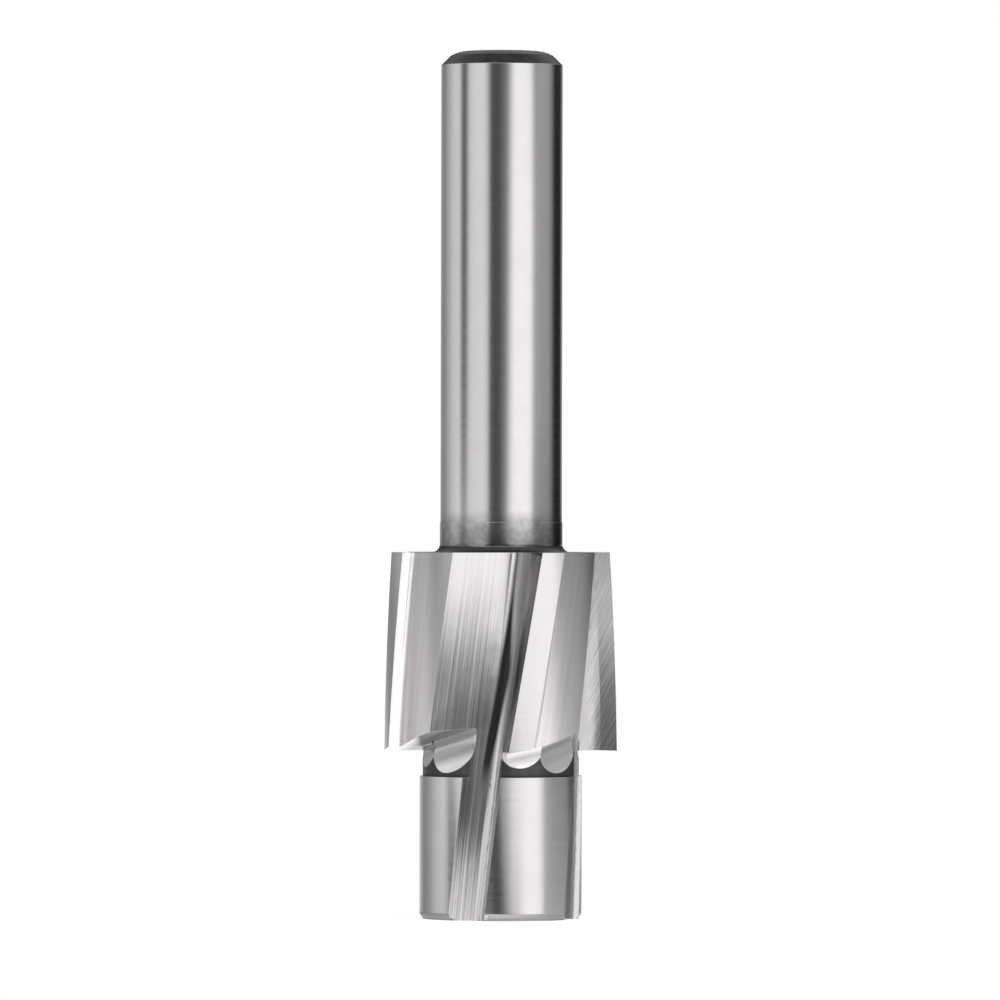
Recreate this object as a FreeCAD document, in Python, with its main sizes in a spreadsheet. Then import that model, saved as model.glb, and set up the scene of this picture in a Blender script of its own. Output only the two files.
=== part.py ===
import FreeCAD, Part
import Sketcher
import math
import os

# Slotting cutter with a solid guide pilot, turned and ground from one bar.
# The axis is Z, the pilot's end lies on Z = 0 and the shank points up.
# The front is seen from -Y. Sizes are in millimetres and degrees.

os.makedirs("parts", exist_ok=True)
doc = FreeCAD.newDocument("cutter")

# Sizes, by name. Every sketch and feature below is bound to these cells.
SIZES = {
    # Turned blank, heights counted from the pilot's end.
    "overall": "85.5",
    "shank_dia": "12",
    "head_dia": "23",
    "pilot_dia": "16",
    "pilot_length": "14.05",
    "neck_length": "2.48",
    "neck_undercut": "0.3",
    "head_length": "19.57",
    "grind_stock": "0.12",
    "root_fillet": "0.8",
    "root_land": "2.95",
    "root_land_stock": "0.05",
    "pilot_edge": "0.7",
    "shank_chamfer": "0.95",
    "crown_height": "0.45",
    "crown_width": "1.7",
    "crown_round": "3.6",
    # Centre holes in both ends.
    "centre_cone_dia": "5.3",
    "centre_drill_dia": "2.5",
    "centre_cone_half_angle": "30",
    "centre_drill_depth": "5.5",
    "centre_tip_half_angle": "59",
    # Helix and teeth. Angles run back from the cutting edge, against the cut.
    # The roundings of the hooked rake are shares of half its depth.
    "teeth": "4",
    "lead": "418",
    "edge_angle_at_pilot_end": "-100.4",
    "flute_over_root": "0.15",
    "flute_corner_share": "0.53",
    "rake_angle": "5.5",
    "hook_angle": "7.5",
    "hook_round_share": "2.42",
    "margin_angle": "12.1",
    "step_angle": "13.5",
    "step_depth": "1.15",
    "step_fillet": "0.5",
    "clearance_angle": "54",
    # Cuts start and end this far outside the blank.
    "past_ends": "1.2",
    "past_side": "2",
    # Grinding of the end teeth: the face behind the lip, then the back of the tooth.
    # Angles and heights count from the cutting edge and from the lips.
    "wheel_round": "6.5",
    "wheel_fore_share": "0.8",
    "face_travel_angle": "103.6",
    "face_rise_angle": "10",
    "face_dish_angle": "1.3",
    "face_depth": "0.39",
    "face_run_out": "1.63",
    "face_aft_share": "0.8",
    "back_travel_angle": "137.9",
    "back_rise_angle": "15.3",
    "back_dish_angle": "9.2",
    "back_depth": "0.58",
    "back_run_out": "2.03",
    "back_aft_share": "0.52",
    "back_lift": "0.45",
}
sizes = doc.addObject("Spreadsheet::Sheet", "sizes")
for row, (name, number) in enumerate(SIZES.items(), start=1):
    sizes.set(f"A{row}", name)
    sizes.set(f"B{row}", number)
    sizes.setAlias(f"B{row}", name)
doc.recompute()

body = doc.addObject("PartDesign::Body", "pilot_slotting_cutter")
body.Label = "pilot_slotting_cutter"


def origin_part(role):
    """The body's own origin plane or axis with this role."""
    return next(item for item in body.Origin.OriginFeatures if item.Role == role)


def new_sketch(name, role, placement=None):
    """An empty sketch on an origin plane of the body, shifted and turned by an expression."""
    sketch = body.newObject("Sketcher::SketchObject", name)
    sketch.AttachmentSupport = [(origin_part(role), "")]
    sketch.MapMode = "FlatFace"
    if placement:
        sketch.setExpression("AttachmentOffset", placement)
        doc.recompute()
    return sketch


def bind(sketch, kind, geometry, position, expression):
    """One size constraint on a point or an edge, bound to the sheet."""
    number = float(sketch.evalExpression(expression))
    if kind == "Radius":
        index = sketch.addConstraint(Sketcher.Constraint("Radius", geometry, number))
    else:
        index = sketch.addConstraint(Sketcher.Constraint(kind, -1, 1, geometry, position, number))
    sketch.setExpression(f"Constraints[{index}]", expression)


def guide_point(sketch, corner, edges):
    """A construction point at a corner that both edges aim at."""
    point = sketch.addGeometry(Part.Point(corner_place(sketch, corner)), True)
    for edge in edges:
        sketch.addConstraint(Sketcher.Constraint("PointOnObject", point, 1, edge))
    bind(sketch, "DistanceX", point, 1, corner[0])
    bind(sketch, "DistanceY", point, 1, corner[1])


def corner_place(sketch, corner):
    """The point that a corner's two expressions name."""
    across, up = (float(sketch.evalExpression(text)) for text in corner[:2])
    return FreeCAD.Vector(across, up, 0)


def add_arc(sketch, shape, start):
    """An arc in the sketch, with the numbers of its end at the start point and of its other end."""
    arc = sketch.addGeometry(shape, False)
    if sketch.getPoint(arc, 1).distanceToPoint(start) < 1e-6:
        return arc, 1, 2
    return arc, 2, 1


def outline(sketch, corners):
    """A closed outline of straight edges. A corner with a third expression is rounded by it."""
    places = [corner_place(sketch, corner) for corner in corners]
    count = len(corners)
    starts = list(places)
    ends = list(places)
    arcs = {}
    for i in range(count):
        if len(corners[i]) < 3:
            continue
        radius = float(sketch.evalExpression(corners[i][2]))
        back = (places[i - 1] - places[i]).normalize()
        ahead = (places[(i + 1) % count] - places[i]).normalize()
        half = back.getAngle(ahead) / 2
        ends[i] = places[i] + back * (radius / math.tan(half))
        starts[i] = places[i] + ahead * (radius / math.tan(half))
        middle = (back + ahead).normalize()
        centre = places[i] + middle * (radius / math.sin(half))
        arcs[i] = Part.Arc(ends[i], centre - middle * radius, starts[i])
    lines = [
        sketch.addGeometry(Part.LineSegment(starts[i], ends[(i + 1) % count]), False)
        for i in range(count)
    ]
    for i in range(count):
        before = lines[i - 1]
        after = lines[i]
        if i not in arcs:
            sketch.addConstraint(Sketcher.Constraint("Coincident", before, 2, after, 1))
            bind(sketch, "DistanceX", after, 1, corners[i][0])
            bind(sketch, "DistanceY", after, 1, corners[i][1])
            continue
        arc, first, last = add_arc(sketch, arcs[i], ends[i])
        sketch.addConstraint(Sketcher.Constraint("Tangent", before, 2, arc, first))
        sketch.addConstraint(Sketcher.Constraint("Tangent", after, 1, arc, last))
        guide_point(sketch, corners[i], [before, after])
        bind(sketch, "Radius", arc, 0, corners[i][2])


def turned(kind, name, sketch):
    """A full turn of a half section about the sketch's upright axis."""
    feature = body.newObject(kind, name)
    feature.Profile = sketch
    feature.ReferenceAxis = (sketch, ["V_Axis"])
    feature.Angle = 360
    sketch.Visibility = False
    doc.recompute()
    return feature


def around(name, features):
    """The same cuts at every tooth."""
    pattern = body.newObject("PartDesign::PolarPattern", name)
    pattern.Originals = features
    pattern.Axis = (origin_part("Z_Axis"), [""])
    pattern.Angle = 360
    pattern.setExpression("Occurrences", "sizes.teeth")
    body.Tip = pattern
    doc.recompute()
    return pattern


# Places that follow from the sizes above.
SHANK_RADIUS = "(sizes.shank_dia / 2)"
HEAD_RADIUS = "(sizes.head_dia / 2)"
PILOT_RADIUS = "(sizes.pilot_dia / 2)"
NECK_RADIUS = "(sizes.pilot_dia / 2 - sizes.neck_undercut)"
LAND_RADIUS = "(sizes.shank_dia / 2 + sizes.root_land_stock)"
CHAMFER_RADIUS = "(sizes.shank_dia / 2 - sizes.shank_chamfer)"
BODY_RADIUS = "(sizes.head_dia / 2 - sizes.step_depth)"
OPEN_RADIUS = "(sizes.head_dia / 2 + sizes.past_side)"
FLUTE_FLOOR = "(sizes.shank_dia / 2 + sizes.root_fillet + sizes.flute_over_root)"
HEAD_BOTTOM = "(sizes.pilot_length + sizes.neck_length)"
HEAD_TOP = "(sizes.pilot_length + sizes.neck_length + sizes.head_length)"

# Core of the blank: shank, head and a plain stub as thick as the neck, down to the pilot's end.
# The head's lower face keeps a little stock, which the relief cuts take away.
core = new_sketch("core_section", "XZ_Plane")
outline(core, [
    ("0", "0"),
    (NECK_RADIUS, "0"),
    (NECK_RADIUS, f"{HEAD_BOTTOM} - sizes.grind_stock"),
    (HEAD_RADIUS, f"{HEAD_BOTTOM} - sizes.grind_stock"),
    (HEAD_RADIUS, HEAD_TOP),
    (LAND_RADIUS, HEAD_TOP, "sizes.root_fillet"),
    (LAND_RADIUS, f"{HEAD_TOP} + sizes.root_land"),
    (SHANK_RADIUS, f"{HEAD_TOP} + sizes.root_land"),
    (SHANK_RADIUS, "sizes.overall - sizes.crown_height - sizes.shank_chamfer"),
    (CHAMFER_RADIUS, "sizes.overall - sizes.crown_height"),
    (f"{CHAMFER_RADIUS} - sizes.crown_width / 2", "sizes.overall", "sizes.crown_round"),
    ("0", "sizes.overall"),
])
turned("PartDesign::Revolution", "core", core)


def relief_cut(name, lift):
    """A wheel pass behind a lip: a sloping face above and a hollow wall that runs out on the neck.

    The sketch stands across the wheel's travel. Its X axis points outwards and its Y axis up.
    """
    edge = f"(sizes.edge_angle_at_pilot_end + 360 * {HEAD_BOTTOM} / sizes.lead)"
    turn = f"create(<<rotation>>; 0; {edge} + sizes.{name}_travel_angle - 90; 0)"
    tilt = f"create(<<rotation>>; 0; 0; sizes.{name}_rise_angle)"
    lift_up = f"create(<<vector>>; 0; {HEAD_BOTTOM}; 0)"
    sketch = new_sketch(f"{name}_wheel", "XZ_Plane", f"create(<<placement>>; {lift_up}; {turn} * {tilt})")
    hollow = f"sqrt(sizes.{name}_depth * (2 * sizes.wheel_round - sizes.{name}_depth))"
    low = f"(0 - sizes.{name}_run_out * cos(sizes.{name}_rise_angle))"
    middle = (f"{NECK_RADIUS} - sizes.{name}_depth + sizes.wheel_round", f"{low} + {hollow}")
    on_axis = ("0", f"{lift} * cos(sizes.{name}_rise_angle)")
    far = (OPEN_RADIUS, f"{on_axis[1]} + tan(sizes.{name}_dish_angle) * {OPEN_RADIUS}")
    foot = (NECK_RADIUS, low)
    centre, start, outer, last = (corner_place(sketch, spot) for spot in (middle, on_axis, far, foot))
    radius = (last - centre).Length
    along = (outer - start).normalize()
    nearest = start + along * (centre - start).dot(along)
    corner = nearest - along * math.sqrt(radius ** 2 - (centre - nearest).Length ** 2)
    halfway = centre + (corner + last - centre * 2).normalize() * radius
    face = sketch.addGeometry(Part.LineSegment(corner, outer), False)
    side = sketch.addGeometry(Part.LineSegment(outer, FreeCAD.Vector(outer.x, last.y, 0)), False)
    under = sketch.addGeometry(Part.LineSegment(FreeCAD.Vector(outer.x, last.y, 0), last), False)
    wall, wall_foot, wall_top = add_arc(sketch, Part.Arc(last, halfway, corner), last)
    for link in (
        ("Coincident", wall, wall_top, face, 1),
        ("Coincident", face, 2, side, 1),
        ("Vertical", side),
        ("Coincident", side, 2, under, 1),
        ("Horizontal", under),
        ("Coincident", under, 2, wall, wall_foot),
    ):
        sketch.addConstraint(Sketcher.Constraint(*link))
    guide_point(sketch, on_axis, [face])
    bind(sketch, "DistanceX", face, 2, far[0])
    bind(sketch, "DistanceY", face, 2, far[1])
    bind(sketch, "DistanceX", wall, 3, middle[0])
    bind(sketch, "DistanceY", wall, 3, middle[1])
    bind(sketch, "DistanceY", wall, wall_foot, foot[1])
    bind(sketch, "Radius", wall, 0, "sizes.wheel_round")
    cut = body.newObject("PartDesign::Pocket", f"{name}_relief")
    cut.Profile = sketch
    cut.Type = "Length"
    cut.SideType = "Two sides"
    cut.setExpression("Length", f"{HEAD_RADIUS} * sizes.{name}_aft_share")
    cut.setExpression("Length2", f"{HEAD_RADIUS} * sizes.wheel_fore_share")
    sketch.Visibility = False
    doc.recompute()
    return cut


# End teeth: the first face lies level along the lip, the second starts behind the margin.
LIP_LIFT = f"({HEAD_RADIUS} * sin(sizes.rake_angle) * tan(sizes.face_rise_angle))"
face_relief = relief_cut("face", LIP_LIFT)
back_relief = relief_cut("back", "sizes.back_lift")
around("end_reliefs", [face_relief, back_relief])

# The pilot is a sleeve around the stub, so the relief cuts stop on its upper face.
pilot = new_sketch("pilot_section", "XZ_Plane")
outline(pilot, [
    ("0", "0"),
    (PILOT_RADIUS, "0", "sizes.pilot_edge"),
    (PILOT_RADIUS, "sizes.pilot_length"),
    ("0", "sizes.pilot_length"),
])
turned("PartDesign::Revolution", "pilot", pilot)


def helical_cut(name, sketch):
    """A cut that follows the helix past the head's upper face."""
    cut = body.newObject("PartDesign::SubtractiveHelix", name)
    cut.Profile = sketch
    cut.ReferenceAxis = (sketch, ["N_Axis"])
    cut.Mode = "pitch-height-angle"
    cut.Angle = 0
    cut.LeftHanded = False
    cut.Reversed = False
    cut.setExpression("Pitch", "sizes.lead")
    cut.setExpression("Height", f"{HEAD_TOP} + 2 * sizes.past_ends")
    sketch.Visibility = False
    doc.recompute()
    return cut


# Both helical sketches lie just below the pilot's end, with the cutting edge on their X axis.
BELOW_PILOT = (
    "create(<<placement>>; create(<<vector>>; 0; 0; 0 - sizes.past_ends); create(<<rotation>>; "
    "sizes.edge_angle_at_pilot_end - 360 * sizes.past_ends / sizes.lead; 0; 0))"
)

# Flute: a hooked rake face, hollow between the edge and the floor, and a flat floor.
# The hook stands back from the straight line between both by the hook angle at either end.
# It runs through the head, the neck and the pilot.
RAKE_HALF = f"(({HEAD_RADIUS} - {FLUTE_FLOOR}) / 2)"
HOOK_DEPTH = f"({RAKE_HALF} / cos(sizes.rake_angle) * tan(sizes.hook_angle))"
FLUTE_CORNER = f"({RAKE_HALF} * sizes.flute_corner_share)"
HOOK_ROUND = f"({RAKE_HALF} * sizes.hook_round_share)"
flute = new_sketch("flute_section", "XY_Plane", BELOW_PILOT)
outline(flute, [
    (FLUTE_FLOOR, f"0 - 2 * {RAKE_HALF} * tan(sizes.rake_angle)", FLUTE_CORNER),
    (FLUTE_FLOOR, f"0 - {OPEN_RADIUS}"),
    (OPEN_RADIUS, f"0 - {OPEN_RADIUS}"),
    (OPEN_RADIUS, f"({OPEN_RADIUS} - {HEAD_RADIUS}) * tan(sizes.rake_angle - sizes.hook_angle)"),
    (
        f"{HEAD_RADIUS} - {RAKE_HALF} - {HOOK_DEPTH} * sin(sizes.rake_angle)",
        f"0 - {RAKE_HALF} * tan(sizes.rake_angle) + {HOOK_DEPTH} * cos(sizes.rake_angle)",
        HOOK_ROUND,
    ),
])
flute_cut = helical_cut("flute", flute)

# Body clearance: behind a narrow margin the tooth steps down to a smaller round.
# The step's wall passes through both corners and meets the round in a small fillet.
MARGIN_END = (f"{HEAD_RADIUS} * cos(sizes.margin_angle)", f"{HEAD_RADIUS} * sin(sizes.margin_angle)")
STEP_FOOT = (f"{BODY_RADIUS} * cos(sizes.step_angle)", f"{BODY_RADIUS} * sin(sizes.step_angle)")
LAST_RAY = (f"{OPEN_RADIUS} * cos(sizes.clearance_angle)", f"{OPEN_RADIUS} * sin(sizes.clearance_angle)")
clearance = new_sketch("clearance_section", "XY_Plane", BELOW_PILOT)
margin_end = corner_place(clearance, MARGIN_END)
step_foot = corner_place(clearance, STEP_FOOT)
ray_end = corner_place(clearance, LAST_RAY)
body_radius = float(clearance.evalExpression(BODY_RADIUS))
open_radius = float(clearance.evalExpression(OPEN_RADIUS))
fillet = float(clearance.evalExpression("sizes.step_fillet"))
outwards = (margin_end - step_foot).normalize()
across = FreeCAD.Vector(-outwards.y, outwards.x, 0)
foot = step_foot + across * fillet
along = outwards.dot(foot)
centre = foot + outwards * (math.sqrt(along ** 2 - foot.Length ** 2 + (body_radius + fillet) ** 2) - along)
wall_end = centre - across * fillet
wall_top = step_foot + outwards * ((open_radius - step_foot.x) / outwards.x)
round_end = centre * (body_radius / centre.Length)
round_middle = centre + (wall_end + round_end - centre * 2).normalize() * fillet
ground_end = ray_end * (body_radius / ray_end.Length)
ground_middle = (round_end + ground_end).normalize() * body_radius
wall = clearance.addGeometry(Part.LineSegment(wall_top, wall_end), False)
rounding, wall_side, ground_side = add_arc(
    clearance, Part.Arc(wall_end, round_middle, round_end), wall_end)
ground, step_side, ray_side = add_arc(
    clearance, Part.Arc(round_end, ground_middle, ground_end), round_end)
ray = clearance.addGeometry(Part.LineSegment(ground_end, ray_end), False)
closing = clearance.addGeometry(Part.LineSegment(ray_end, wall_top), False)
for link in (
    ("Tangent", wall, 2, rounding, wall_side),
    ("Tangent", rounding, ground_side, ground, step_side),
    ("Coincident", ground, 3, -1, 1),
    ("Coincident", ground, ray_side, ray, 1),
    ("PointOnObject", -1, 1, ray),
    ("Coincident", ray, 2, closing, 1),
    ("Coincident", closing, 2, wall, 1),
):
    clearance.addConstraint(Sketcher.Constraint(*link))
guide_point(clearance, MARGIN_END, [wall])
guide_point(clearance, STEP_FOOT, [wall])
bind(clearance, "Radius", rounding, 0, "sizes.step_fillet")
bind(clearance, "Radius", ground, 0, BODY_RADIUS)
bind(clearance, "DistanceX", wall, 1, OPEN_RADIUS)
bind(clearance, "DistanceX", ray, 2, LAST_RAY[0])
bind(clearance, "DistanceY", ray, 2, LAST_RAY[1])
clearance_cut = helical_cut("clearance", clearance)
around("teeth", [flute_cut, clearance_cut])

# Centre holes in both ends: a cone and a short drilled hole with a pointed bottom.
CONE_DEPTH = "(sizes.centre_cone_dia - sizes.centre_drill_dia) / 2 / tan(sizes.centre_cone_half_angle)"
TIP_DEPTH = "(sizes.centre_drill_depth + sizes.centre_drill_dia / 2 / tan(sizes.centre_tip_half_angle))"
centres = new_sketch("centre_holes_section", "XZ_Plane")
for face, inwards in (("0", "+"), ("sizes.overall", "-")):
    outline(centres, [
        ("0", face),
        ("sizes.centre_cone_dia / 2", face),
        ("sizes.centre_drill_dia / 2", f"{face} {inwards} {CONE_DEPTH}"),
        ("sizes.centre_drill_dia / 2", f"{face} {inwards} sizes.centre_drill_depth"),
        ("0", f"{face} {inwards} {TIP_DEPTH}"),
    ])
centre_holes = turned("PartDesign::Groove", "centre_holes", centres)
body.Tip = centre_holes
doc.recompute()

for item in doc.Objects:
    if {"Invalid", "Error"} & set(item.State):
        raise RuntimeError(f"{item.Name} did not build: {item.State}")
for sketch in doc.findObjects("Sketcher::SketchObject"):
    if sketch.solve() != 0 or not sketch.FullyConstrained:
        raise RuntimeError(f"{sketch.Name} is not fully set by its sizes")
shape = body.Shape
if shape.isNull() or not shape.isValid() or len(shape.Solids) != 1:
    raise RuntimeError("the cutter is not one sound solid")
shape.exportStep(os.path.join("parts", f"{body.Label}.step"))
print(body.Label, round(shape.Volume, 1), "mm3", len(shape.Faces), "faces")
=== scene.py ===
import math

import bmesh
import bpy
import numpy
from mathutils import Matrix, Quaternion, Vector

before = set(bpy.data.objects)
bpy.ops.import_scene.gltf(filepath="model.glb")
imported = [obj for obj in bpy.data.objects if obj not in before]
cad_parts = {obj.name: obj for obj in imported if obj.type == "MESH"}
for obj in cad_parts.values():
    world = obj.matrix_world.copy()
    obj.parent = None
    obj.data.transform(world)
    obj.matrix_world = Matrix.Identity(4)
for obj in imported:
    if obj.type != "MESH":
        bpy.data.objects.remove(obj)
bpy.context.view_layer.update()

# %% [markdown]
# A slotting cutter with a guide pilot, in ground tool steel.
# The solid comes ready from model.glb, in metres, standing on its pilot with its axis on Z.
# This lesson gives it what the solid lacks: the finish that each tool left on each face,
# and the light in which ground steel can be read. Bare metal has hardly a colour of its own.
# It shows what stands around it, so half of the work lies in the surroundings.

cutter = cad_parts["pilot_slotting_cutter"]
scene = bpy.context.scene
MM = 0.001

# %% [markdown]
# The camera. A long lens almost a metre away keeps the sides of the shank parallel, as a
# catalogue picture does. It looks level, at a little under half of the cutter's height, so
# rings above that height bow upwards and rings below it bow downwards.
# The lens follows from one measure: how many millimetres at the axis fall on one pixel.

# %% Camera
IMAGE_WIDTH = 1000
MM_PER_PIXEL = 0.09864
CAMERA_AWAY = 0.985
CAMERA_HEIGHT = 0.04124
CAMERA_SIDE = -0.00012
CAMERA_ROLL = 0.00196

camera_data = bpy.data.cameras.new("camera")
camera_data.sensor_width = 36.0
camera_data.lens = camera_data.sensor_width * CAMERA_AWAY / (IMAGE_WIDTH * MM_PER_PIXEL * MM)
camera_data.clip_start = 0.1
camera_data.clip_end = 20.0
camera = bpy.data.objects.new("camera", camera_data)
scene.collection.objects.link(camera)
camera.location = (CAMERA_SIDE, -CAMERA_AWAY, CAMERA_HEIGHT)
camera.rotation_mode = "QUATERNION"
level_look = Vector((0, 1, 0)).to_track_quat("-Z", "Y")
camera.rotation_quaternion = level_look @ Quaternion((0, 0, 1), CAMERA_ROLL)
scene.camera = camera
scene.view_settings.view_transform = "Standard"
print("lens, mm:", round(camera_data.lens, 1))

# %% [markdown]
# Small helpers for node trees. A material is a chain of small sums, so one helper adds a
# node, sets it up and plugs in whatever it is given: a number stays on the socket, and an
# output of another node becomes a link. The next two do a sum or a blend in a single line,
# and the last one starts a node group, which is a small machine built once and used often.

# %% Helpers for nodes
def add(tree, kind, inputs=None, **settings):
    """A node with its settings, and its inputs by name or number."""
    made = tree.nodes.new(kind)
    for name, value in settings.items():
        setattr(made, name, value)
    for name, value in (inputs or {}).items():
        if isinstance(value, bpy.types.NodeSocket):
            tree.links.new(value, made.inputs[name])
        else:
            made.inputs[name].default_value = value
    return made


def maths(tree, operation, *values):
    """The result of one Math node."""
    return add(tree, "ShaderNodeMath", dict(enumerate(values)), operation=operation).outputs[0]


def blend(tree, mask, under, over):
    """One number where the mask is 0 and another where it is 1."""
    return add(tree, "ShaderNodeMix", {0: mask, 2: under, 3: over}, data_type="FLOAT").outputs[0]


def new_group(name, inputs, outputs):
    """An empty node group, what it is given and what it gives. An input of None is a place."""
    tree = bpy.data.node_groups.new(name, "ShaderNodeTree")
    for label, default in inputs.items():
        kind = "NodeSocketVector" if default is None else "NodeSocketFloat"
        socket = tree.interface.new_socket(label, in_out="INPUT", socket_type=kind)
        if default is not None:
            socket.default_value = default
    for label in outputs:
        tree.interface.new_socket(label, in_out="OUTPUT", socket_type="NodeSocketFloat")
    return tree, add(tree, "NodeGroupInput").outputs, add(tree, "NodeGroupOutput").inputs


print("helpers:", [helper.__name__ for helper in (add, maths, blend, new_group)])

# %% [markdown]
# Where is a point on the cutter? Every finish below asks this. The group turns the object's
# own coordinates into a turner's terms: distance from the axis, height, and the angle from
# the nearest cutting edge. The teeth wind round the axis once in 418 mm, so the angle is
# first wound back by the height. Behind the edge it counts up over the tooth, before the
# edge it counts down over the flute. Out and Across are the same place on square axes that
# turn with the tooth: the flat floor of the flute lies at one value of Out.
# An angle that goes round has to start again somewhere. Around starts again at the back of
# a tooth, where the finish changes anyway. Around Foot starts again inside the flute, so
# that strokes which cross the foot of a tooth have no seam.

# %% Group: place on the cutter
LEAD = 418.0
EDGE_AT_FOOT = math.radians(-100.4)
QUARTER = math.pi / 2
HEEL = math.radians(-47.9)
FOOT_HEEL = math.radians(-26.0)

place_tree, given, gives = new_group(
    "place on the cutter", {"Coordinates": None},
    ["Radius", "Height", "Angle", "Out", "Across", "Around", "Around Foot"])
to_mm = add(place_tree, "ShaderNodeVectorMath", {0: given["Coordinates"], "Scale": 1 / MM}, operation="SCALE")
axes = add(place_tree, "ShaderNodeSeparateXYZ", {0: to_mm.outputs[0]}).outputs
side_squared = maths(place_tree, "MULTIPLY", axes[0], axes[0])
radius = maths(place_tree, "SQRT", maths(place_tree, "MULTIPLY_ADD", axes[1], axes[1], side_squared))
bearing = maths(place_tree, "ARCTAN2", axes[1], axes[0])
wound = maths(place_tree, "MULTIPLY_ADD", axes[2], -2 * math.pi / LEAD, bearing)
from_edge = maths(place_tree, "SUBTRACT", wound, EDGE_AT_FOOT)
angle = maths(place_tree, "WRAP", from_edge, HEEL + QUARTER, HEEL)
foot_angle = maths(place_tree, "WRAP", from_edge, FOOT_HEEL + QUARTER, FOOT_HEEL)
for label, value in (
    ("Radius", radius),
    ("Height", axes[2]),
    ("Angle", maths(place_tree, "DEGREES", angle)),
    ("Out", maths(place_tree, "MULTIPLY", radius, maths(place_tree, "COSINE", angle))),
    ("Across", maths(place_tree, "MULTIPLY", radius, maths(place_tree, "SINE", angle))),
    ("Around", maths(place_tree, "MULTIPLY", radius, angle)),
    ("Around Foot", maths(place_tree, "MULTIPLY", radius, foot_angle)),
):
    place_tree.links.new(value, gives[label])
print("group:", place_tree.name)

# %% [markdown]
# A mask says where a finish lies. It is 1 between two limits and falls to 0 over a soft edge.
# Masks are multiplied where a finish has to be inside several limits at once.

# %% Group: between two limits
limits_tree, given, gives = new_group(
    "between two limits", {"Value": 0.0, "From": 0.0, "To": 1.0, "Soft": 0.05}, ["Mask"])
rising = maths(limits_tree, "DIVIDE", maths(limits_tree, "SUBTRACT", given["Value"], given["From"]), given["Soft"])
falling = maths(limits_tree, "DIVIDE", maths(limits_tree, "SUBTRACT", given["To"], given["Value"]), given["Soft"])
both = maths(limits_tree, "MINIMUM", rising, falling)
centred = maths(limits_tree, "ADD", both, 0.5)
clamped = add(limits_tree, "ShaderNodeClamp", {0: centred}).outputs[0]
limits_tree.links.new(clamped, gives["Mask"])


def between(tree, value, low, high, soft=0.02):
    """The mask of the group above, for one value."""
    limits = {"Value": value, "From": low, "To": high, "Soft": soft}
    return add(tree, "ShaderNodeGroup", limits, node_tree=limits_tree).outputs["Mask"]


def times(tree, *masks):
    """Several masks at once."""
    product = masks[0]
    for mask in masks[1:]:
        product = maths(tree, "MULTIPLY", product, mask)
    return product


print("group:", limits_tree.name)

# %% [markdown]
# Tool marks. Grinding and milling both leave fine strokes, long one way and narrow the
# other. A noise texture makes them when its coordinates are squeezed: many per millimetre
# across the stroke and hardly any change along it. Two sizes are added, the hairlines and
# some wider bands, because real marks never have one width only.

# %% Group: tool strokes
strokes_tree, given, gives = new_group(
    "tool strokes", {"Along": 0.0, "Across": 0.0, "Beside": 0.0, "Strokes per mm": 5.0, "Stroke length": 8.0},
    ["Hairlines", "Bands"])
lengthwise = maths(strokes_tree, "DIVIDE", given["Along"], given["Stroke length"])
crosswise = maths(strokes_tree, "MULTIPLY", given["Across"], given["Strokes per mm"])
beside = maths(strokes_tree, "MULTIPLY", given["Beside"], given["Strokes per mm"])
squeezed = add(strokes_tree, "ShaderNodeCombineXYZ", {0: lengthwise, 1: crosswise, 2: beside}).outputs[0]
hair = add(strokes_tree, "ShaderNodeTexNoise", {"Vector": squeezed, "Scale": 1.0, "Detail": 2.0, "Roughness": 0.6})
wide_place = add(strokes_tree, "ShaderNodeVectorMath", {0: squeezed, "Scale": 0.23}, operation="SCALE").outputs[0]
wide = add(strokes_tree, "ShaderNodeTexNoise", {"Vector": wide_place, "Scale": 1.0, "Detail": 1.0, "Roughness": 0.5})
strokes_tree.links.new(hair.outputs[0], gives["Hairlines"])
strokes_tree.links.new(wide.outputs[0], gives["Bands"])


def strokes(tree, along, across, per_mm, length, beside=0.0):
    """Hairlines and bands of the group above, both from 0 to 1."""
    made = add(tree, "ShaderNodeGroup", {
        "Along": along, "Across": across, "Beside": beside,
        "Strokes per mm": per_mm, "Stroke length": length}, node_tree=strokes_tree)
    return made.outputs["Hairlines"], made.outputs["Bands"]


print("group:", strokes_tree.name)

# %% [markdown]
# The steel itself. One material covers the whole solid, because it is one piece of steel,
# and masks say which tool went over which face. The work starts with the places.
# Limits are in millimetres and degrees, as on the drawing, and BEYOND stands where a mask
# has no limit on that side. The blank is the round that each part had before the flutes
# were cut: pilot, neck or head. All that lies deeper was cut later.

# %% Tool steel: places
steel = bpy.data.materials.new("ground_tool_steel")
steel.use_nodes = True
tree = steel.node_tree
tree.nodes.clear()
coordinates = add(tree, "ShaderNodeTexCoord")
place = add(tree, "ShaderNodeGroup", {"Coordinates": coordinates.outputs["Object"]}, node_tree=place_tree).outputs
facing_up = add(tree, "ShaderNodeSeparateXYZ", {0: coordinates.outputs["Normal"]}).outputs[2]
RADIUS, HEIGHT, ANGLE = place["Radius"], place["Height"], place["Angle"]
OUT, ACROSS, AROUND, AROUND_FOOT = place["Out"], place["Across"], place["Around"], place["Around Foot"]
PILOT_RADIUS, NECK_RADIUS, HEAD_RADIUS = 8.0, 7.7, 11.5
PILOT_TOP, HEAD_BOTTOM, HEAD_TOP, GROUND_FROM, CHAMFER_FROM, TOOL_TOP = 14.05, 16.53, 36.1, 39.05, 84.1, 85.5
BEYOND = 100.0

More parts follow.
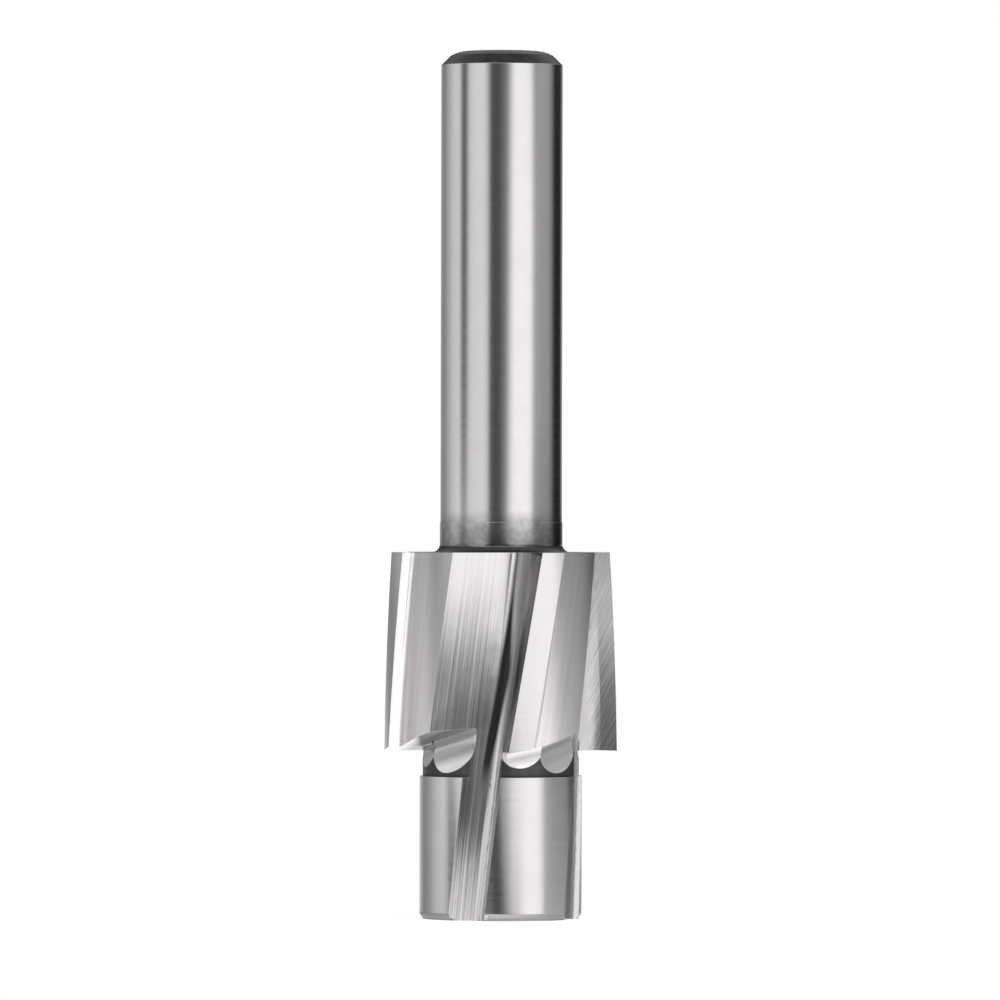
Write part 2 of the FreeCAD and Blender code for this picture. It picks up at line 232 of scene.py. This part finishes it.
above_pilot = between(tree, HEIGHT, PILOT_TOP, BEYOND)
above_neck = between(tree, HEIGHT, HEAD_BOTTOM - 0.15, BEYOND)
pilot_or_neck = maths(tree, "MULTIPLY_ADD", above_pilot, NECK_RADIUS - PILOT_RADIUS, PILOT_RADIUS)
blank = maths(tree, "MULTIPLY_ADD", above_neck, HEAD_RADIUS - NECK_RADIUS, pilot_or_neck)
depth = maths(tree, "SUBTRACT", blank, RADIUS)
print("radius of the blank, mm:", PILOT_RADIUS, NECK_RADIUS, HEAD_RADIUS)

# %% [markdown]
# Places become masks. The flute lies deeper than the blank, and its floor lies flat at one
# value of Out. The rake face is the part of the flute close under the cutting edge. The
# back of a tooth lies behind the narrow ground land and below it.

# %% Tool steel: masks of the flutes and teeth
FLUTE_FLOOR = 6.93
BACK_FROM = 12.9
below_head_top = between(tree, HEIGHT, -BEYOND, HEAD_TOP - 0.01)
in_flute = times(tree, between(tree, OUT, FLUTE_FLOOR, BEYOND), between(tree, ACROSS, -BEYOND, 0.12),
                 between(tree, depth, 0.02, BEYOND), below_head_top)
outside_flute = maths(tree, "SUBTRACT", 1.0, in_flute)
on_rake = times(tree, in_flute, between(tree, ACROSS, -0.6, BEYOND, 0.2))
on_head = between(tree, HEIGHT, HEAD_BOTTOM, HEAD_TOP - 0.01)
on_tooth = times(tree, between(tree, ANGLE, BACK_FROM, BEYOND, 0.3), between(tree, RADIUS, 10.2, 10.9, 0.3), on_head)
print("masks: flute, rake face, tooth back")

# %% [markdown]
# The end teeth lie beside the neck and look down, the faces of the lips more steeply than
# the hollows behind them. The flat faces are found by their height and by where they look,
# and the centre holes by their radius.

# %% Tool steel: masks of the ends and the neck
looks_down = between(tree, facing_up, -BEYOND, -0.1, 0.06)
looks_right_down = between(tree, facing_up, -BEYOND, -0.5, 0.06)
on_neck = times(tree, above_pilot, between(tree, HEIGHT, -BEYOND, 17.5),
                between(tree, RADIUS, NECK_RADIUS - 0.03, NECK_RADIUS + 0.05, 0.01))
end_teeth = times(tree, between(tree, HEIGHT, 14.3, 23), outside_flute)
hollow = maths(tree, "MAXIMUM", times(tree, looks_down, between(tree, RADIUS, 6, 10.2, 0.1)),
               between(tree, RADIUS, 6, NECK_RADIUS - 0.04, 0.01))
on_hollow = times(tree, end_teeth, hollow)
on_lip_face = times(tree, end_teeth, looks_right_down)
on_head_top = times(tree, between(tree, HEIGHT, HEAD_TOP - 0.03, HEAD_TOP + 0.03),
                    between(tree, facing_up, 0.9, BEYOND, 0.05))
on_pilot_end = times(tree, between(tree, HEIGHT, -BEYOND, 0.02), looks_down)
in_centre = times(tree, between(tree, RADIUS, -BEYOND, 2.66), between(tree, HEIGHT, 0.01, TOOL_TOP - 0.03, 0.01))
print("masks: neck, hollows, lips, head top, pilot end, centre holes")

# %% [markdown]
# A finish is three things: how bright the steel is, how rough it is, and the height of its
# marks in millimetres. The first finish covers all. Each later one is laid over it where
# its mask is, in the order in which the tools came to the real cutter, last one on top.
# The other helpers make the numbers for it: a noise stretched between two values, the
# height of two sizes of marks, soft clouds, and a value that changes slowly over the height.

# %% Laying one finish over another
finish = {}


def lay(mask, tone, rough, height):
    """A finish over what is there already."""
    for key, value in (("tone", tone), ("rough", rough), ("height", height)):
        finish[key] = value if mask is None else blend(tree, mask, finish[key], value)


def spread(value, low, high):
    """A value from 0 to 1 stretched between two others."""
    return maths(tree, "MULTIPLY_ADD", value, high - low, low)


def marks(hair, bands, fine, coarse):
    """The height of hairlines and bands together, each with its own depth."""
    return maths(tree, "MULTIPLY_ADD", hair, fine, maths(tree, "MULTIPLY", bands, coarse))


def clouds(scale, detail, roughness):
    """Soft clouds all over the cutter, from 0 to 1."""
    return add(tree, "ShaderNodeTexNoise", {
        "Vector": coordinates.outputs["Object"], "Scale": scale, "Detail": detail, "Roughness": roughness}).outputs[0]


def over_height(start, end, first, last):
    """A value that runs from first to last between two heights and stays level outside."""
    return add(tree, "ShaderNodeMapRange", {
        "Value": HEIGHT, "From Min": start, "From Max": end, "To Min": first, "To Max": last}).outputs[0]


print("helpers:", [helper.__name__ for helper in (lay, spread, marks, clouds, over_height)])

# %% [markdown]
# Ground rounds: the shank, the pilot and the narrow lands behind the cutting edges.
# The wheel ran round them, so its hairlines run round too. They are too fine to be seen one
# by one. What they do is blur reflections up and down while their sides stay sharp, and a
# bump less than a thousandth of a millimetre high does that by itself.

# %% Ground rounds
ring_hair, ring_bands = strokes(tree, AROUND, HEIGHT, per_mm=9.0, length=9.0)
cloud = clouds(420.0, 3.0, 0.55)
lay(None, tone=spread(cloud, 0.94, 1.04), rough=spread(ring_bands, 0.12, 0.2),
    height=marks(ring_hair, cloud, 0.0005, 0.0016))
print("ground rounds laid, nodes so far:", len(tree.nodes))

# %% [markdown]
# Milled backs of the teeth. A milling cutter ran along the helix and left strokes along it.
# They blur reflections sideways, which is why these faces look even while the shank beside
# them shows sharp stripes of the same room. The narrow wall that steps down to the back faces
# the white table, and its tone is painted brighter than the steel: a painted reflection, the
# brightest line of the whole cutter. The backs are painted a little darker towards the shank,
# a painted shade, so their tone fades upwards.

# %% Backs of the teeth
back_hair, back_bands = strokes(tree, HEIGHT, AROUND, per_mm=7.0, length=26.0)
# Painted shade: the backs of the teeth are painted darker towards the shank.
back_painted_shade = over_height(18.0, 35.0, 1.14, 0.78)
lay(on_tooth, tone=times(tree, back_painted_shade, spread(back_bands, 0.84, 1.1)), rough=spread(back_hair, 0.27, 0.36),
    height=marks(back_hair, back_bands, 0.003, 0.004))
# Painted reflection: the narrow step wall is painted brighter than the steel, standing for the white table it
# mirrors.
step_painted_reflection = times(tree, between(tree, ANGLE, BACK_FROM - 0.6, BACK_FROM + 2.1, 0.5),
                between(tree, RADIUS, 10.2, 11.3, 0.2), on_head)
lay(step_painted_reflection, tone=1.4, rough=0.3, height=0.0)
print("tooth backs laid, nodes so far:", len(tree.nodes))

# %% [markdown]
# Flute floors. The same kind of milling, but rougher: the strokes are wide enough to be
# counted. Where a floor turns from a white card to a dark one, each stroke turns at its own
# height, and that makes the streaks that one sees on every helical cutter. Here the streaks
# are painted into the tone, up to more than twice the steel's brightness: a painted
# reflection, strongest in the lower half and fading towards the shank.

# %% Flute floors
floor_hair, floor_bands = strokes(tree, HEIGHT, ACROSS, per_mm=7.0, length=25.0)
wide_hair, wide_bands = strokes(tree, HEIGHT, ACROSS, per_mm=4.6, length=80.0, beside=3.0)
floor_marks = maths(
    tree, "ADD", marks(floor_hair, floor_bands, 0.001, 0.002), marks(wide_hair, wide_bands, 0.009, 0.004))
# Painted reflection: bright and dark streaks painted into the floor's tone, in its lower half.
painted_reflection_streaks = times(tree, spread(wide_hair, 0.35, 1.6), spread(floor_hair, 0.5, 1.45))
painted_streaks_below = between(tree, HEIGHT, -BEYOND, 29.0, 7.0)
floor_tone = blend(tree, painted_streaks_below, spread(wide_hair, 0.85, 1.15), painted_reflection_streaks)
lay(in_flute, tone=floor_tone, rough=spread(floor_hair, 0.14, 0.2), height=floor_marks)
print("flute floors laid, nodes so far:", len(tree.nodes))

# %% [markdown]
# Rake faces, the steep sides of the flutes that carry the cutting edges. They were ground
# last, with a dish wheel that crossed them at a slant, so its strokes run from the floor
# outwards and up. Their tone is painted a little darker near the shank, a painted shade as on
# the backs. The wheel is round, so it could not reach the root of the face. There the strokes
# stop, the steel is rougher, and its tone is painted darker still, more so towards the shank:
# painted shade at the root of the face.

# %% Rake faces
SLANT = math.radians(62)
rake_along = maths(tree, "MULTIPLY_ADD", OUT, math.cos(SLANT), maths(tree, "MULTIPLY", HEIGHT, math.sin(SLANT)))
rake_across = maths(tree, "MULTIPLY_ADD", OUT, -math.sin(SLANT), maths(tree, "MULTIPLY", HEIGHT, math.cos(SLANT)))
rake_hair, rake_bands = strokes(tree, rake_along, rake_across, per_mm=5.0, length=6.0)
# Painted shade: the rake faces are painted darker towards the shank.
rake_painted_shade = over_height(29.0, 34.0, 1.0, 0.8)
lay(on_rake, tone=times(tree, rake_painted_shade, spread(rake_hair, 0.72, 1.12)), rough=spread(rake_hair, 0.16, 0.24),
    height=marks(rake_hair, rake_bands, 0.006, 0.012))
# Painted shade: the root of the rake face is painted darker, most towards the shank.
root_of_rake = times(tree, in_flute, between(tree, OUT, 7.0, 8.5, 0.5), between(tree, ACROSS, -1.2, BEYOND, 0.3),
                     between(tree, HEIGHT, 17.0, BEYOND, 3.0))
lay(root_of_rake, tone=over_height(24.0, 32.0, 0.95, 0.55), rough=0.42, height=0.0)
print("rake faces laid, nodes so far:", len(tree.nodes))

# %% [markdown]
# The corner between floor and rake is painted dark: painted shade in the corner. It starts as
# a thin wedge below the head's upper face, is widest at the lips, and fades over the pilot.
# Three ramps over the height say where the middle of the wedge is, how wide it is and how soft
# its border is. A thin veil of painted shade lies on the floor beside it and only dims what
# is there already.

# %% Painted shade in the corner of the flute
corner_middle = over_height(10.0, 24.0, -2.2, -0.95)
corner_width = over_height(25.0, 33.0, 0.5, 0.0)
corner_soft = over_height(8.0, 18.0, 1.2, 0.3)
from_middle = maths(tree, "ABSOLUTE", maths(tree, "SUBTRACT", ACROSS, corner_middle))
corner_painted_shade = times(tree, in_flute, between(tree, from_middle, -BEYOND, corner_width, corner_soft),
                  between(tree, HEIGHT, 10.5, 40, 10.0))
# Painted shade: a veil that dims the floor beside the corner.
beside_corner_painted_shade = times(tree, in_flute, between(tree, ACROSS, -3.4, corner_middle, 1.0),
                      between(tree, HEIGHT, 17.0, 25.5, 4.0))
lay(beside_corner_painted_shade, tone=maths(tree, "MULTIPLY", finish["tone"], 0.5), rough=finish["rough"],
    height=finish["height"])
# Painted shade: the dark wedge in the corner itself.
lay(corner_painted_shade, tone=over_height(6.0, 15.0, 0.6, 0.06), rough=0.38, height=0.0)
print("dark corner laid, nodes so far:", len(tree.nodes))

# %% [markdown]
# End teeth. The lips at the head's lower side cut the flat bottom of the recess. Behind
# each lip a small wheel ground a face that leans away, and it ran out on the neck in a
# hollow with a round end. Both carry strokes that climb slightly, the way the wheel
# travelled. In the hollow the strokes are painted up to nearly twice the steel's brightness,
# as painted highlights. The lip's face is painted dark near the neck, a painted shade under
# the head, and keeps the steel's tone at its outer end.

# %% End teeth
CLIMB = 0.26
relief_along = maths(tree, "MULTIPLY_ADD", HEIGHT, CLIMB, AROUND_FOOT)
relief_across = maths(tree, "MULTIPLY_ADD", AROUND_FOOT, -CLIMB, HEIGHT)
relief_hair, relief_bands = strokes(tree, relief_along, relief_across, per_mm=4.0, length=10.0)
# Painted highlight: the bright strokes of the hollow reach 1.8 times the steel's tone.
lay(on_hollow, tone=spread(relief_bands, 0.75, 1.8), rough=spread(relief_hair, 0.16, 0.26),
    height=marks(relief_hair, relief_bands, 0.004, 0.03))
# Painted shade: the lip's face is painted dark near the neck.
free_of_painted_shade = between(tree, RADIUS, 9.7, BEYOND, 1.6)
lip_tone = maths(tree, "MULTIPLY_ADD", free_of_painted_shade, 0.85, spread(relief_bands, 0.05, 0.35))
lay(on_lip_face, tone=lip_tone, rough=spread(relief_hair, 0.2, 0.3),
    height=marks(relief_hair, relief_bands, 0.004, 0.02))
print("end teeth laid, nodes so far:", len(tree.nodes))

# %% [markdown]
# Faces that no wheel touched after hardening keep a dark skin of scale: the neck and the
# shank's end with its chamfer. The skin is patchy, so its grey follows a fine noise. The
# groove between neck and pilot is painted evenly dark: painted shade in the groove.

# %% Dark skin of hardening and painted shade in the groove
patches = clouds(900.0, 4.0, 0.6)
broad = clouds(330.0, 2.0, 0.5)
scale_height = maths(tree, "MULTIPLY", patches, 0.004)
lay(on_neck, tone=spread(patches, 0.05, 0.2), rough=0.36, height=scale_height)
# Painted shade: the groove between neck and pilot is painted evenly dark.
neck_groove_painted_shade = times(tree, above_pilot, between(tree, HEIGHT, -BEYOND, PILOT_TOP + 0.28, 0.12), outside_flute)
lay(neck_groove_painted_shade, tone=0.1, rough=0.45, height=0.0)
on_chamfer = between(tree, HEIGHT, CHAMFER_FROM + 0.01, BEYOND, 0.04)
lay(on_chamfer, tone=spread(patches, 0.01, 0.09), rough=0.4, height=scale_height)
print("dark skin laid on neck and chamfer, nodes so far:", len(tree.nodes))

# %% [markdown]
# The foot of the shank. A band three millimetres high above the head is darker, darkest at
# the head and fading upwards, and its border is ragged. It still mirrors the room a little.
# The fillet under it is painted black: painted shade in the corner.

# %% Dark foot of the shank
ragged_border = spread(patches, GROUND_FROM + 0.2, GROUND_FROM + 1.4)
on_foot = times(tree, between(tree, HEIGHT, -BEYOND, ragged_border, 1.0),
                between(tree, HEIGHT, HEAD_TOP + 0.02, BEYOND, 0.12))
foot_shade = maths(tree, "MULTIPLY_ADD", HEIGHT, 0.14, spread(patches, -5.14, -4.44))
lay(on_foot, tone=foot_shade, rough=spread(broad, 0.14, 0.24), height=maths(tree, "MULTIPLY", patches, 0.002))
fillet_top = spread(broad, HEAD_TOP + 0.4, HEAD_TOP + 0.8)
# Painted shade: the fillet between shank and head is painted black.
lay(between(tree, HEIGHT, HEAD_TOP + 0.02, fillet_top, 0.12), tone=0.08, rough=0.4, height=0.0)
print("dark skin laid on the foot of the shank, nodes so far:", len(tree.nodes))

# %% [markdown]
# The flat faces across the axis. The head's upper face was turned and shows fine rings round
# the axis, and so does the pilot's end. The centre holes are bright inside, from the points
# that held the cutter while it was ground. The pilot's lower edge is broken by hand, after
# the grinding, and the small bevel that this leaves is dull.

# %% Flat faces and centre holes
turned_hair, turned_bands = strokes(tree, AROUND, RADIUS, per_mm=7.0, length=12.0)
fine_rings = marks(turned_hair, turned_bands, 0.002, 0.003)
coarse_rings = maths(tree, "MULTIPLY", fine_rings, 2.0)
lay(on_head_top, tone=spread(turned_bands, 0.28, 0.5), rough=0.32, height=coarse_rings)
lay(on_pilot_end, tone=spread(turned_bands, 0.75, 0.95), rough=0.24, height=fine_rings)
lay(in_centre, tone=0.6, rough=0.3, height=fine_rings)
broken_edge = times(tree, between(tree, HEIGHT, -BEYOND, 0.69, 0.06),
                    between(tree, RADIUS, PILOT_RADIUS - 0.7, BEYOND, 0.05), outside_flute)
lay(broken_edge, tone=0.7, rough=0.5, height=0.0)
print("flat faces laid, nodes so far:", len(tree.nodes))

# %% [markdown]
# The parts come together. Steel hardly differs in colour from place to place, so the tone
# only scales one slightly warm grey. The bevel node rounds each edge by a few hundredths of a
# millimetre in the shading, which gives real edges their thin bright line.

# %% Assembling the steel
STEEL = (0.632, 0.615, 0.617)
base = add(tree, "ShaderNodeVectorMath", {0: STEEL, "Scale": finish["tone"]}, operation="SCALE").outputs[0]
soft_edges = add(tree, "ShaderNodeBevel", {"Radius": 0.04 * MM}, samples=4)
relief = add(tree, "ShaderNodeBump", {
    "Height": finish["height"], "Distance": MM, "Strength": 1.0, "Normal": soft_edges.outputs[0]})
shader = add(tree, "ShaderNodeBsdfPrincipled", {
    "Base Color": base, "Roughness": finish["rough"], "Metallic": 1.0, "Normal": relief.outputs[0]})
add(tree, "ShaderNodeOutputMaterial", {"Surface": shader.outputs[0]})
cutter.data.materials.clear()
cutter.data.materials.append(steel)
print("nodes in the steel:", len(tree.nodes))

# %% [markdown]
# The surroundings. Ground steel mirrors, so what stands round the cutter matters as much as
# its own finish. A photographer sets up white panels and black cards and looks at the steel,
# not at the cards. Here one tall ring of paper stands for them all. It is painted in greys,
# and each grey is what the steel shows when a point on it looks that way.
# A cylinder turns its mirror image twice as fast as itself, so a stripe on the shank that
# lies 20 degrees from its middle shows the paper 40 degrees away from the camera.
# The two rooms give grey by bearing, one for paper above the table and one for below it.
# Every table reads as place: value, with straight lines between. A place is a bearing in
# degrees or a height in metres, and a value is a grey or the share of a card that shows.

# %% Greys of the two rooms
UPPER_ROOM = {
    -180: 0.62, -160: 0.42, -150: 0.32, -138: 0.33, -122: 0.54, -102: 0.87, -87: 0.9, -80: 0.15,
    -72: 0.13, -64: 0.82, -57: 0.96, -36: 1.03, -28: 0.92, -20: 0.1, -12: 0.08, -4: 0.1, 4: 0.24, 12: 0.35,
    58: 0.6, 70: 0.55, 80: 0.49, 98: 0.46, 106: 0.34, 118: 0.04, 126: 0.02, 147: 0.03, 162: 0.42, 180: 0.62,
}
LOWER_ROOM = {
    -180: 0.62, -160: 0.7, -150: 0.42, -138: 0.31, -122: 0.42, -102: 0.75, -87: 0.78, -80: 0.15,
    -72: 0.12, -64: 0.75, -57: 0.95, -36: 1.0, -28: 0.92, -20: 0.1, -12: 0.06, 0: 0.07, 12: 0.12,
    58: 0.7, 70: 0.52, 80: 0.38, 98: 0.33, 106: 0.3, 118: 0.04, 126: 0.02, 147: 0.03, 162: 0.42, 180: 0.62,
}
ROOM_BORDER = {0.0: 0.0, 0.04: 1.0}
print("darkest and brightest grey of the room:", min(UPPER_ROOM.values()), max(UPPER_ROOM.values()))

# %% [markdown]
# The key is a white panel in front. Its left and right borders and its grey change with the
# height of the paper. The dim strip in its upper part is what the right-hand rake face
# mirrors, and the white above that strip is for the hollows behind the lips.
# The others are small cards: the dark upper part in front, the white roof, the pale table
# with white cards before and behind the cutter, two more white cards low in front and at
# the right, a card at the right that dims the backs of the teeth, a dark one high up
# behind, and a gap in the dark card at the left.

# %% Key and cards
KEY_LEFT = {
    -0.17: -10, -0.14: 28, -0.065: 28, -0.045: 31, -0.028: 31, -0.0245: 12.5, -0.01: 10,
    -0.004: 8, 0.0: 2, 0.012: 4, 0.03: 15, 0.1: 16.5, 0.18: 22, 0.2: 30, 0.222: 30, 0.24: 24}
KEY_RIGHT = {
    -0.02: 63, -0.003: 62.5, 0.003: 58, 0.035: 58, 0.042: 62,
    0.11: 61, 0.15: 54, 0.19: 40, 0.222: 36, 0.24: 42}
KEY_GREY = {0.14: 1.4, 0.165: 1.35, 0.185: 1.05, 0.2: 0.6, 0.222: 0.5, 0.235: 1.2, 0.32: 1.2}
UPPER_DARK = {0.11: 0.0, 0.15: 1.0}
TABLE = {-0.18: 1.0, -0.15: 0.0}
TABLE_GREY = {-180: 1.8, -165: 0.7, -45: 0.7, -30: 1.8, 38: 1.8, 50: 0.7, 165: 0.7, 180: 1.8}
LOW_LEFT = {-0.06: 1.0, -0.045: 0.0}
SHADE_RIGHT = {-0.01: 1.0, -0.002: 1.08, 0.008: 0.95, 0.018: 0.6, 0.033: 0.42, 0.041: 1.0}
LOW_RIGHT = {-0.034: 1.0, -0.027: 0.0}
GAP_LEFT = {-0.002: 0.0, 0.004: 1.0, 0.03: 1.0, 0.038: 0.0}
BEHIND = {0.112: 0.0, 0.13: 1.0}
ROOF = {0.3: 0.0, 0.38: 1.0}
ROOF_GREY = {-60: 0.9, -20: 2.2, 60: 2.2, 90: 1.1}
print("key", max(KEY_GREY.values()), "table", max(TABLE_GREY.values()), "roof", max(ROOF_GREY.values()))

# %% [markdown]
# One function answers for every point of the paper. It starts with the room and lays the
# cards over it, each where it hangs, and last the key, the roof and the table. A card has
# no hard border: its share falls off over a few degrees or a few millimetres.

# %% Grey of a point on the paper
def read(stops, place):
    """The value at a place, in straight lines between the stops."""
    return float(numpy.interp(place, list(stops), list(stops.values())))


def cover(under, card, share):
    """What shows of a card laid over another grey: all of it at 1, none of it at 0."""
    return under + (card - under) * share


def paper_grey(bearing, height):
    """How bright the ring is. Bearing 0 is towards the camera and 90 to its right."""
    grey = cover(read(LOWER_ROOM, bearing), read(UPPER_ROOM, bearing), read(ROOM_BORDER, height))
    if -95 < bearing < -60:
        grey = cover(grey, 1.2, read(GAP_LEFT, height))
    if bearing > 50:
        grey *= read(SHADE_RIGHT, height)
    if bearing > 70:
        grey = cover(grey, 0.85, read(LOW_RIGHT, height))
    if abs(bearing) > 130:
        grey = cover(grey, 0.08, read(BEHIND, height))
    if -30 < bearing < 75:
        grey = cover(grey, 0.1, read(UPPER_DARK, height))
    if -30 < bearing < -4:
        grey = cover(grey, 1.2, read({-13: 1.0, -6: 0.0}, bearing) * read(LOW_LEFT, height))
    right_of_left_border = read({-7: 0.0, 7: 1.0}, bearing - read(KEY_LEFT, height))
    left_of_right_border = read({-5: 0.0, 5: 1.0}, read(KEY_RIGHT, height) - bearing)
    grey = cover(grey, read(KEY_GREY, height), right_of_left_border * left_of_right_border)
    grey = cover(grey, read(ROOF_GREY, bearing), read(ROOF, height))
    return cover(grey, read(TABLE_GREY, bearing), read(TABLE, height))


print("paper in the middle of the key:", round(paper_grey(40, 0.05), 2))

# %% [markdown]
# The ring itself. A flat grid of points is rolled into a cylinder round the cutter, and each
# point keeps its own grey in a layer of the mesh. The material reads that layer and glows
# with it. The rows lie close together at the height of the cutter and far apart elsewhere,
# because the steel turns small steps in height there into long stripes. The ring is seen
# only in the steel: the camera looks through it, and it casts no light or shadow.

# %% Paper ring
RING_RADIUS = 0.6
RING_MIDDLE, NEAR_ROWS, FAR_ROWS = 0.02, 0.12, 0.55
ring = bmesh.new()
grey_layer = ring.verts.layers.float.new("grey")
bmesh.ops.create_grid(ring, x_segments=180, y_segments=80, size=1.0)
for corner in ring.verts:
    bearing = 180 * corner.co.x
    height = RING_MIDDLE + NEAR_ROWS * corner.co.y + FAR_ROWS * corner.co.y ** 5
    turn = math.radians(bearing)
    corner.co = (RING_RADIUS * math.sin(turn), -RING_RADIUS * math.cos(turn), height)
    corner[grey_layer] = paper_grey(bearing, height)
ring_mesh = bpy.data.meshes.new("paper_ring")
ring.to_mesh(ring_mesh)
ring.free()
paper = bpy.data.materials.new("paper_greys")
paper.use_nodes = True
paper.node_tree.nodes.clear()
painted = add(paper.node_tree, "ShaderNodeAttribute", attribute_name="grey").outputs["Fac"]
glow = add(paper.node_tree, "ShaderNodeEmission", {"Strength": painted})
add(paper.node_tree, "ShaderNodeOutputMaterial", {"Surface": glow.outputs[0]})
ring_mesh.materials.append(paper)
paper_ring = bpy.data.objects.new("paper_ring", ring_mesh)
scene.collection.objects.link(paper_ring)
paper_ring.visible_camera = False
paper_ring.visible_diffuse = False
paper_ring.visible_shadow = False
print("ring, m:", [round(side, 2) for side in paper_ring.dimensions])

# %% [markdown]
# The world is plain white to the camera and to the steel, and a softer grey to everything
# that it lights, so the background stays white without flooding the cutter with light.
# The Light Path node tells which kind of ray asks, and the two greys are mixed by it.

# %% World
WHITE = (1, 1, 1, 1)
SOFT_LIGHT = 0.6


def looked_at(tree):
    """1 for rays that show what they meet, from the camera, a mirror or glass, and 0 for light."""
    rays = add(tree, "ShaderNodeLightPath").outputs
    mirrored = maths(tree, "MAXIMUM", rays["Is Glossy Ray"], rays["Is Transmission Ray"])
    return maths(tree, "MAXIMUM", rays["Is Camera Ray"], mirrored)


world = bpy.data.worlds.new("white_studio")
world.use_nodes = True
scene.world = world
sky = world.node_tree
sky.nodes.clear()
white = add(sky, "ShaderNodeBackground", {"Color": WHITE, "Strength": 1.0})
soft = add(sky, "ShaderNodeBackground", {"Color": WHITE, "Strength": SOFT_LIGHT})
mixed = add(sky, "ShaderNodeMixShader", {0: looked_at(sky), 1: soft.outputs[0], 2: white.outputs[0]})
add(sky, "ShaderNodeOutputWorld", {"Surface": mixed.outputs[0]})
print("world: white to look at,", SOFT_LIGHT, "as light")

# %% [markdown]
# Two soft lamps, the key in front at the right and a weaker fill at the left. They light the
# floor and give the cutter its soft shadow there. The steel would mirror them as two bright
# squares that no panel of the studio explains, so they are hidden from mirror rays.

# %% Lamps
LAMP_SIZE = 0.7
LAMP_AWAY = 1.1
CUTTER_MIDDLE = Vector((0, 0, 0.043))


def lamp(title, bearing, rise, power):
    """A square soft lamp that looks at the middle of the cutter."""
    data = bpy.data.lights.new(title, "AREA")
    data.size = LAMP_SIZE
    data.energy = power
    made = bpy.data.objects.new(title, data)
    turn, up = math.radians(bearing), math.radians(rise)
    way = Vector((math.sin(turn) * math.cos(up), -math.cos(turn) * math.cos(up), math.sin(up)))
    made.location = CUTTER_MIDDLE + way * LAMP_AWAY
    made.rotation_mode = "QUATERNION"
    made.rotation_quaternion = way.to_track_quat("Z", "Y")
    made.visible_glossy = False
    scene.collection.objects.link(made)


lamp("key_lamp", 38, 40, 3.2)
lamp("fill_lamp", -50, 45, 1.6)

# %% [markdown]
# The floor is a small white disc under the pilot, as wide as the shadow needs. Its paint is
# part chalk, which takes the shadow, and part glow, which lifts it to the white of the
# background, so no border is seen. The steel does not mirror it: the table in the paper
# ring stands for it there.

# %% Floor
FLOOR_RADIUS = 0.024
CHALK = (0.6, 0.6, 0.6, 1)
GLOW = 0.62
disc = bmesh.new()
bmesh.ops.create_circle(disc, cap_ends=True, radius=FLOOR_RADIUS, segments=96)
floor_mesh = bpy.data.meshes.new("floor")
disc.to_mesh(floor_mesh)
disc.free()
paint = bpy.data.materials.new("white_floor")
paint.use_nodes = True
floor_tree = paint.node_tree
floor_tree.nodes.clear()
chalk = add(floor_tree, "ShaderNodeBsdfDiffuse", {"Color": CHALK})
lift = add(floor_tree, "ShaderNodeEmission", {"Strength": maths(floor_tree, "MULTIPLY", looked_at(floor_tree), GLOW)})
sum_of_both = add(floor_tree, "ShaderNodeAddShader", {0: chalk.outputs[0], 1: lift.outputs[0]})
add(floor_tree, "ShaderNodeOutputMaterial", {"Surface": sum_of_both.outputs[0]})
floor_mesh.materials.append(paint)
floor = bpy.data.objects.new("floor", floor_mesh)
scene.collection.objects.link(floor)
floor.visible_glossy = False
print("floor across, mm:", round(2 * FLOOR_RADIUS / MM))
